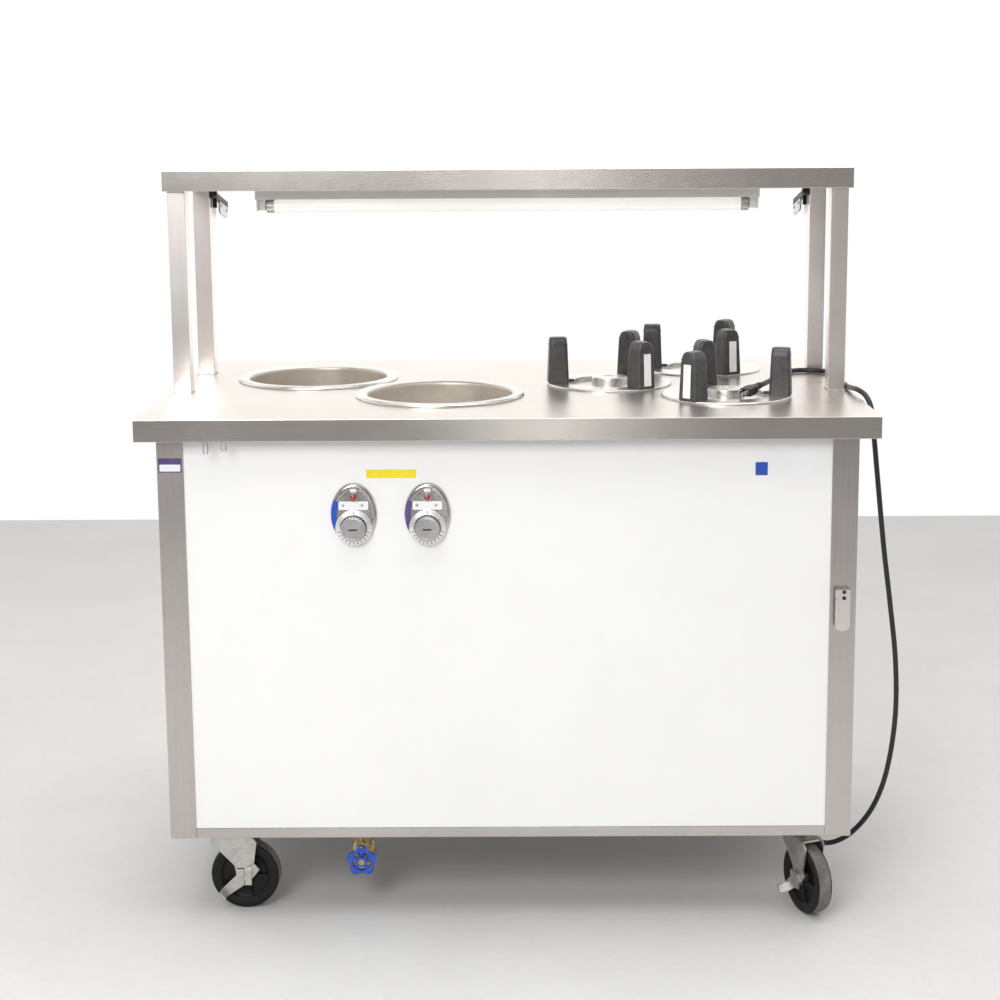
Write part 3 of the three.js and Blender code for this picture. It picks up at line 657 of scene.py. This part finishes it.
def make_guard(key):
    """Black bar with its stop and pivot bolt, and the clear tab that hangs below its outer half."""
    body = f"guard_arm_{'left' if key == 'l' else 'right'}"
    low, high = span(f"guard_arm_{key}")
    inward = 1 if key == "l" else -1
    inner, outer = (high.x, low.x) if key == "l" else (low.x, high.x)
    pivot = Vector((outer, *GUARD_PIVOT))
    place = Matrix.Translation(pivot) @ turned(GUARD_SLOPE, "X") @ Matrix.Diagonal((inward, 1, 1, 1))
    wide = abs(inner - outer)
    bar = block((0, wide), (-2, 154), (-5.5, 5.5), 1.6, 3)
    eye = placed([prism(ellipse(9, 9, 40), 0, wide, 0.8)], SIDEWAYS)
    stop = block((0, wide), (24, 30), (-24, 0), 1.2)
    bolts = placed(bolt(5.0, 3.4), at(wide, 0, 0) @ turned(90, "Y"))
    piece(f"guard_bar_{key}", [bar, *eye, stop, *bolts], body, "black", [f"guard_arm_{key}"],
          place)
    outline = [(60, -4), (152, -4), (152, -20), (149.5, -25.5), (144, -29), (76, -29), (66, -26), (61, -20)]
    tab = placed([prism(outline, 5, 8, 0.5)], SIDEWAYS)
    rivets = []
    for y in (76, 140):
        rivets += placed([screw(3.2, 1.4)], at(wide, y, -13) @ turned(90, "Y"))
    piece(f"guard_tab_{key}", [*tab, *rivets], body, "clear", place=place)


# ---------------------------------------------------------------- wells and dispensers
WELL_BORE = 133.0
WELL_DEPTH = 210.3      # from the underside of the rim to the floor


def make_well(key):
    """Well with its rolled rim and the strainer over its drain."""
    low, high = span(f"soup_well_{key}")
    x, y = (low.x + high.x) / 2, (low.y + high.y) / 2
    rim, flange = span("counter_top")[1].z + 0.3, (high.x - low.x) / 2
    bore, floor = WELL_BORE, rim - WELL_DEPTH
    shell = [(9, low.z), (11.5, low.z), (11.5, floor - 34), (104, floor - 34), (107.5, floor - 32),
             (110, floor - 1.5), (124, floor), (130, floor + 3.5), (134, floor + 9), (135.5, floor + 16),
             (135.5, rim), (flange - 0.4, rim), (flange, rim + 1.0), (flange - 0.3, rim + 2.6),
             (flange - 1.6, rim + 4.4), (flange - 3.8, rim + 5.6), (flange - 6.5, rim + 6.0),
             (142, rim + 6.0), (138.6, rim + 5.5), (135.8, rim + 4.1), (134, rim + 1.6), (bore, rim - 2),
             (bore, rim - 60), (bore, rim - 140), (bore, floor + 16), (132, floor + 10), (128.5, floor + 5.4),
             (122, floor + 2.6), (100, floor + 1.8), (40, floor + 1.2), (26, floor + 0.6), (22, floor - 1.4),
             (9, floor - 2.0)]
    piece(f"well_shell_{key}", [lathe(shell, 112)], "cabinet", "well_inside",
          [f"soup_well_{key}"], at(x, y))
    ring = [(flange - 0.1, rim + 0.9), (flange + 0.0, rim + 1.2), (flange - 0.25, rim + 2.7),
            (flange - 1.5, rim + 4.5), (flange - 3.8, rim + 5.75), (flange - 6.5, rim + 6.15),
            (142, rim + 6.15), (138.6, rim + 5.65), (135.7, rim + 4.2), (134.4, rim + 3.0),
            (134.6, rim + 2.4), (142, rim + 5.0), (flange - 6, rim + 5.0)]
    piece(f"well_rim_{key}", [lathe(ring, 112)], "cabinet", "spun", place=at(x, y))
    strainer = bmesh.new()
    centre = strainer.verts.new((0, 0, 4.2))
    rows = []
    for k in range(1, 9):
        r = 3.4 * k
        rows.append([strainer.verts.new((r * math.cos(a), r * math.sin(a), 4.2 - 3.2 * (r / 27.2) ** 2))
                     for a in (2 * math.pi * i / 36 for i in range(36))])
    for i in range(36):
        strainer.faces.new((centre, rows[0][i], rows[0][(i + 1) % 36]))
    for k in range(7):
        for i in range(36):
            if k in (1, 3, 5) and i % 3 == 1:
                continue
            strainer.faces.new((rows[k][i], rows[k + 1][i], rows[k + 1][(i + 1) % 36], rows[k][(i + 1) % 36]))
    bmesh.ops.recalc_face_normals(strainer, faces=strainer.faces)
    bmesh.ops.solidify(strainer, geom=strainer.faces[:], thickness=0.8)
    piece(f"well_strainer_{key}", [strainer], "cabinet", "spun", place=at(x, y, floor - 1.2))


GUIDES = {"a": 184, "b": 176, "c": 228}     # direction of each dispenser's first guide, in degrees
# guides whose outer face carries a white band as a painted highlight
PAINTED_HIGHLIGHT_GUIDES = ("a2", "b2", "c1")
GUIDE_AT = 99           # distance of the guides at rest from the dispenser's axis
SLOT_AT = 100.25        # distance of the middle of their slots


def make_guide(name, body, site, angle, foot_z, strip):
    """Moulded post on its foot with a clamp stud, and on some a white band on the outer face, a painted
    highlight.
    """
    post = []
    for z, hy, hx, corner in ((0, 19.6, 19.6, 5), (1.2, 20, 20, 5.4), (24, 19.3, 19.1, 5.6),
                              (50, 18.4, 18.1, 5.8), (68, 17.7, 17.4, 6), (75, 16.6, 17.1, 6.2),
                              (80, 14.9, 16.8, 6.4), (83.6, 12.2, 16.5, 6.2), (85.4, 9.6, 15.6, 5.6),
                              (86.2, 6.8, 13.4, 4.6)):
        post.append([(px, py, z) for px, py in rounded(hx, hy, corner, 6)])
    foot = prism([(-31, -0.8), (-28, -3.2), (-22, -6.6), (-16, -7.6), (-16, 7.6), (-22, 6.6), (-28, 3.2),
                  (-31, 0.8)], 0, 5, 0.9)
    band = loft([[(px, py, z) for px, py in rounded(hx, hy, 6.1, 6)]
                 for z, hx, hy in ((71.6, 17.1, 17.0), (72.0, 17.9, 17.9), (73.4, 17.8, 17.6),
                                   (73.8, 16.8, 16.6))])
    stud = lathe([(0, 1), (3, 1), (3, -13.3), (2.4, -14.2), (0, -14.2)], 18)
    nut = prism(ellipse(7, 7, 6), -13.2, -7.2, 0.5)
    place = at(*site) @ turned(angle) @ at(GUIDE_AT, 0, foot_z)
    piece(f"guide_body_{name}", [loft(post), foot, band], body, "moulded",
          [f"guide_post_{name}"], place)
    piece(f"guide_stud_{name}", [stud, nut], body, "zinc", place=place)
    # White band on the outer face: a painted highlight.
    if strip:
        lean = math.degrees(math.atan2(2.6, 70))
        highlight_strip = prism(rounded(30, 8, 0.8), 0, 0.5, 0.12)
        outward = place @ at(19.55, 0, 34) @ turned(-lean, "Y") @ turned(90, "Y")
        piece(f"guide_painted_highlight_{name}", [highlight_strip], body, "white", place=outward)


def coil(radius, wire, turns, z0, z1):
    """Round wire wound about Z."""
    count = turns * 28
    points = []
    for i in range(count + 1):
        t = i / count
        angle = 2 * math.pi * turns * t
        points.append((radius * math.cos(angle), radius * math.sin(angle), z0 + (z1 - z0) * t))
    return sweep(points, wire, 10)


def make_dispenser(key):
    """Tube with slotted flange, carrier, lifting spring and the three guides on it."""
    low, high = span(f"dispenser_tube_{key}")
    x, y = (low.x + high.x) / 2, (low.y + high.y) / 2
    flange, under, top, bottom = (high.x - low.x) / 2, high.z - 3.7, high.z, low.z
    wall = [(30, bottom), (76, bottom), (78.5, bottom + 2.5), (78.5, under), (flange - 0.5, under),
            (flange, under + 0.7), (flange - 0.2, top - 1.6), (flange - 1.2, top - 0.5), (flange - 2.6, top),
            (82, top), (79.2, top - 0.1), (77.2, top - 0.9), (76, top - 2.6), (76, bottom + 5),
            (74, bottom + 3), (30, bottom + 3)]
    tube = lathe(wall, 112)
    shell = piece(f"dispenser_shell_{key}", [tube], "cabinet", "spun",
                  [f"dispenser_tube_{key}"], at(x, y))
    cutters = []
    for number in range(3):
        outline = [(px + SLOT_AT, py) for px, py in rounded(11.25, 3.5, 3.4)]
        cutters += placed([prism(outline, under - 5, top + 5)], turned(GUIDES[key] + 120 * number))
    whole = joined(cutters)
    bmesh.ops.transform(whole, matrix=Matrix.Scale(MM, 4) @ at(x, y), verts=whole.verts)
    bmesh.ops.recalc_face_normals(whole, faces=whole.faces)
    mesh = bpy.data.meshes.new("cutter")
    whole.to_mesh(mesh)
    whole.free()
    cutter = bpy.data.objects.new("cutter", mesh)
    bpy.context.scene.collection.objects.link(cutter)
    cut = shell.modifiers.new("slots", "BOOLEAN")
    cut.operation = "DIFFERENCE"
    cut.object = cutter
    cut.solver = "EXACT"
    while shell.modifiers[0] != cut:
        shell.modifiers.move(shell.modifiers.find(cut.name), 0)
    with bpy.context.temp_override(object=shell, active_object=shell, selected_objects=[shell]):
        bpy.ops.object.modifier_apply(modifier=cut.name)
    bpy.data.objects.remove(cutter)

    drum = span(f"plate_carrier_{key}")[1].z
    plate_top = drum - 19
    plate = [(0, plate_top - 4), (66, plate_top - 4), (66, plate_top - 43), (67, plate_top - 44),
             (69, plate_top - 44), (69, plate_top - 5), (73.2, plate_top - 4.6), (74, plate_top - 3.4),
             (73.8, plate_top - 1.2), (72, plate_top), (46, plate_top), (44, plate_top - 1.2),
             (40, plate_top - 1.2), (38, plate_top), (35.4, plate_top + 0.4), (34, plate_top + 1.8),
             (34, drum - 3.2), (33.2, drum - 1.1), (31.2, drum), (12, drum), (10, drum - 1.4),
             (0, drum - 1.4)]
    piece(f"carrier_plate_{key}", [lathe(plate, 96)], f"carrier_{key}", "disc",
          [f"plate_carrier_{key}"], at(x, y))

    spring_low, spring_high = span(f"carrier_spring_{key}")
    wire = 2.5
    spring = piece(f"lift_spring_{key}", [coil(45, wire, 9, spring_low.z + wire, spring_high.z - wire)],
                   "cabinet", "zinc", [f"carrier_spring_{key}"], at(x, y))
    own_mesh(spring)
    for number in (1, 2, 3):
        name = f"{key}{number}"
        make_guide(name, f"guide_{name}", (x, y), GUIDES[key] + 120 * (number - 1), top + 0.3,
                   name in PAINTED_HIGHLIGHT_GUIDES)


# ---------------------------------------------------------------- running gear and drain
CASTER_CORNER = (520, 270)      # swivel axes, from the middle of the unit
CASTER_PLATE = 149.4            # underside of the plates that carry them
TREAD_FROM = 61.4               # the lighter band lies further than this from the axle


def make_caster(key):
    """Wheel, fork and plate bolts, and the brake lever on a front caster."""
    low, high = span(f"caster_wheel_{key}")
    hub = (low + high) / 2
    corner = Vector([reach * sign for reach, sign in zip(CASTER_CORNER, CORNERS[key])])
    heading = math.degrees(math.atan2(hub.y - corner.y, hub.x - corner.x))
    place = at(*hub) @ turned(heading) @ FACING
    r = hub.z
    tread = [(44, -12.2), (49, -13.6), (54, -15.2), (58.2, -15.4), (60.6, -14.2), (61.9, -11.6), (62.4, -7),
             (r, -2.5)]
    wheel = lathe(mirrored(tread), 96)
    centre = [(5.6, -16.6), (13.6, -16.6), (15.8, -15.6), (17, -12.6), (19.5, -9), (24, -7.6), (38, -7.6),
              (42, -9.2), (44.3, -12.3)]
    disc = lathe(mirrored(centre), 96)
    ribs = []
    for i in range(5):
        both_sides = [block((18, 43), (-1.6, 1.6), z, 0.5) for z in ((-12.2, -6), (6, 12.2))]
        ribs += placed(both_sides, turned(72 * i))
    tyre = piece(f"wheel_tyre_{key}", [wheel, disc, *ribs], f"wheel_{key}", "tyre",
                 [f"caster_wheel_{key}"], place)
    axle = (place.to_3x3() @ Vector((0, 0, 1))).normalized()
    second_look(tyre, "tread", lambda face: ((face.center / MM - hub).cross(axle)).length > TREAD_FROM)
    seal = [(5.4, -16.9), (11.5, -16.9), (12.4, -16.2), (12.4, -14), (5.4, -14)]
    seals = [lathe([(a, b * side) for a, b in seal], 40) for side in (1, -1)]
    piece(f"wheel_bearing_{key}", seals, f"wheel_{key}", "zinc", place=place)

    extra = []
    for side in (at(0, 0, 20.6), at(0, 0, -20.6) @ turned(180, "X")):
        extra += placed(placed(bolt(5.2, 4.2, 1.2), side), place)
    if key[0] == "f":
        saddle = [block((-13, 1.2), (-13, 15), (24.8, 28.2), 1.4),
                  block((2.2, 15), (-13, 15), (24.8, 28.2), 1.4)]
        extra += placed(saddle, place)
    crown = span(f"caster_fork_{key}")[1].z
    rounded_cad(f"fork_frame_{key}", f"caster_fork_{key}", "zinc", 0.9, body=f"fork_{key}",
                extra=extra)
    race = lathe([(16, crown - 3.4), (23.6, crown - 3.4), (25.4, crown - 2), (25.4, crown - 0.9),
                  (24.4, crown - 0.1), (16, crown - 0.1)], 48)
    piece(f"fork_race_{key}", [race], f"fork_{key}", "zinc", place=at(*corner))
    bolts = []
    for sx in (-1, 1):
        for sy in (-1, 1):
            spot = at(corner.x + 33 * sx, corner.y + 33 * sy, CASTER_PLATE)
            bolts += placed(bolt(4.4, 3.4, 1.2), spot @ turned(180, "X"))
    piece(f"plate_bolts_{key}", bolts, "cabinet", "zinc")
    if key[0] == "f":
        rounded_cad(f"brake_lever_{key}", f"brake_pedal_{key}", "zinc", 0.7,
                    body=f"brake_{key}")


VALVE_Y = -250.0
PIPE_Z = 230.0


def make_drain():
    """Pipes from both wells to a globe valve under the pan, and its handwheel."""
    rear, front = middle("soup_well_rear"), middle("soup_well_front")
    wheel = middle("valve_handwheel")
    x, z = wheel.x, wheel.z
    y, pipe_z, bend = VALVE_Y, PIPE_Z, 26.0
    top = span("soup_well_rear")[0].z - 0.3
    runs = [
        [(rear.x, rear.y, top), (rear.x, rear.y, pipe_z + bend), (rear.x, rear.y, pipe_z + 8),
         (rear.x + 8, rear.y, pipe_z), (rear.x + bend, rear.y, pipe_z), (x, rear.y, pipe_z)],
        [(front.x, front.y, top), (front.x, front.y, pipe_z + bend), (front.x, front.y, pipe_z + 8),
         (front.x - 8, front.y, pipe_z), (front.x - bend, front.y, pipe_z), (x, front.y, pipe_z)],
        [(x, rear.y + 13, pipe_z), (x, y + bend, pipe_z), (x, y + 8, pipe_z), (x, y, pipe_z - 8),
         (x, y, pipe_z - bend), (x, y, z + 24)],
    ]
    pipes = [sweep(run, 12.6, 24) for run in runs]
    piece("drain_pipes", pipes, "cabinet", "brass", ["drain_valve"])
    body = [
        lathe([(10, z + 36), (16.5, z + 36), (17.2, z + 34), (17.2, z + 24), (15, z + 22), (14.6, z + 18),
               (19, z + 12), (21, z + 4), (21, z - 4), (19, z - 12), (14.6, z - 18), (14.6, z - 22),
               (15, z - 24), (17.2, z - 26), (17.2, z - 33), (16.5, z - 34), (10, z - 34), (10, z)], 48),
    ]
    body += [prism(ellipse(18.4, 18.4, 6), *ends, 1.0) for ends in ((z + 22, z + 33), (z - 34, z - 24))]
    body = placed(body, at(x, y))
    stem = at(x, y, z) @ FACING
    bonnet = [lathe([(0, 12), (15.5, 12), (15.5, 19), (12.4, 22), (11.4, 30), (0, 30)], 40),
              prism(ellipse(13, 13, 6), 24, 33, 0.8),
              lathe([(0, 30), (9, 33), (8.4, 37), (4, 38.4), (4, 57), (3.2, 58), (0, 58)], 28)]
    body += placed(bonnet, stem)
    piece("globe_valve", body, "cabinet", "brass")
    lobes = 100
    rim = []
    for i in range(lobes):
        a = 2 * math.pi * i / lobes
        r = 25.8 + 3.2 * math.cos(5 * a)
        rim.append((r * math.sin(a), r * math.cos(a)))
    levels = ((0.93, 42), (0.985, 43), (1.0, 44.8), (1.0, 49.2), (0.985, 51), (0.93, 52))
    outer = [[(px * s, py * s, h) for px, py in rim] for s, h in levels]
    inner = [[(17 * math.sin(2 * math.pi * i / lobes), 17 * math.cos(2 * math.pi * i / lobes), h)
              for i in range(lobes)]
             for h in (51.4, 50.4, 44, 42.6)]
    ring = loft(outer + inner, closed=True)
    hub = lathe([(4.4, 38), (9.4, 38), (10, 38.8), (10, 53.8), (9.2, 55), (4.4, 55)], 36)
    spokes = []
    for i in range(5):
        spokes += placed([block((8, 18.4), (-3.2, 3.2), (44.6, 49.4), 1.0)], turned(90 - 72 * i))
    piece("valve_wheel_rim", [ring, hub, *spokes], "valve_wheel", "handle",
          ["valve_handwheel"], stem)
    piece("valve_wheel_nut", bolt(3.6, 2.6, 0.9), "valve_wheel", "brass",
          place=stem @ at(0, 0, 55.0))


make_labels()
make_clips()
make_hook()
make_controls()
make_lamp()
for key in "lr":
    make_guard(key)
for key in ("rear", "front"):
    make_well(key)
for key in GUIDES:
    make_dispenser(key)
for key in CORNERS:
    make_caster(key)
make_drain()


# ---------------------------------------------------------------- stage
BEHIND_CAMERA = 0.27    # strength of the surroundings that the front faces mirror
BEHIND_UNIT = 1.25      # and of those that the rear faces mirror
FLOOR_HALF = 2900       # half the side of the square floor, whose far edge is the straight horizon
FLOOR_CORNER = 900


def soft_light(name, where, aim, size, power):
    data = bpy.data.lights.new(name, "AREA")
    data.shape = "RECTANGLE"
    data.size, data.size_y = size
    data.energy = power
    light = bpy.data.objects.new(name, data)
    light.location = where
    light.rotation_euler = (Vector(aim) - Vector(where)).to_track_quat("-Z", "Y").to_euler()
    bpy.context.scene.collection.objects.link(light)


def make_stage():
    slab = bmesh.new()
    outline = rounded(FLOOR_HALF, FLOOR_HALF, FLOOR_CORNER, 24)
    slab.faces.new([slab.verts.new((x * MM, y * MM, 0)) for x, y in outline])
    mesh = bpy.data.meshes.new("floor")
    slab.to_mesh(mesh)
    slab.free()
    mesh.materials.append(LOOKS["floor"])
    floor = bpy.data.objects.new("floor", mesh)
    bpy.context.scene.collection.objects.link(floor)
    world = bpy.data.worlds.new("studio")
    bpy.context.scene.world = world
    world.use_nodes = True
    tree = world.node_tree
    seen = tree.nodes["Background"]
    seen.inputs["Color"].default_value = (1, 1, 1, 1)
    seen.inputs["Strength"].default_value = 1.0
    lit = add_node(tree, "ShaderNodeBackground", {"Color": (1, 0.985, 0.97, 1)})
    way = add_node(tree, "ShaderNodeTexCoord")
    parts = add_node(tree, "ShaderNodeSeparateXYZ")
    tree.links.new(way.outputs["Generated"], parts.inputs["Vector"])
    fade = add_node(tree, "ShaderNodeMapRange", {"From Min": -0.7, "From Max": 0.5, "To Min": BEHIND_CAMERA,
                                                 "To Max": BEHIND_UNIT})
    tree.links.new(parts.outputs["Y"], fade.inputs["Value"])
    tree.links.new(fade.outputs["Result"], lit.inputs["Strength"])
    which = add_node(tree, "ShaderNodeLightPath")
    mix = add_node(tree, "ShaderNodeMixShader")
    tree.links.new(which.outputs["Is Camera Ray"], mix.inputs["Fac"])
    tree.links.new(lit.outputs["Background"], mix.inputs[1])
    tree.links.new(seen.outputs["Background"], mix.inputs[2])
    tree.links.new(mix.outputs["Shader"], tree.nodes["World Output"].inputs["Surface"])
    soft_light("overhead", (0.2, -0.6, 3.6), (0, 0.2, 0.4), (3.4, 2.6), 66)
    soft_light("key", (-1.2, -3.6, 2.7), (0, 0, 0.7), (1.6, 1.6), 78)
    soft_light("streak", (0.09, -3.75, 1.3), (0.09, 0, 1.1), (0.12, 2.8), 6.0)
    bpy.context.scene.view_settings.view_transform = "Standard"


make_stage()
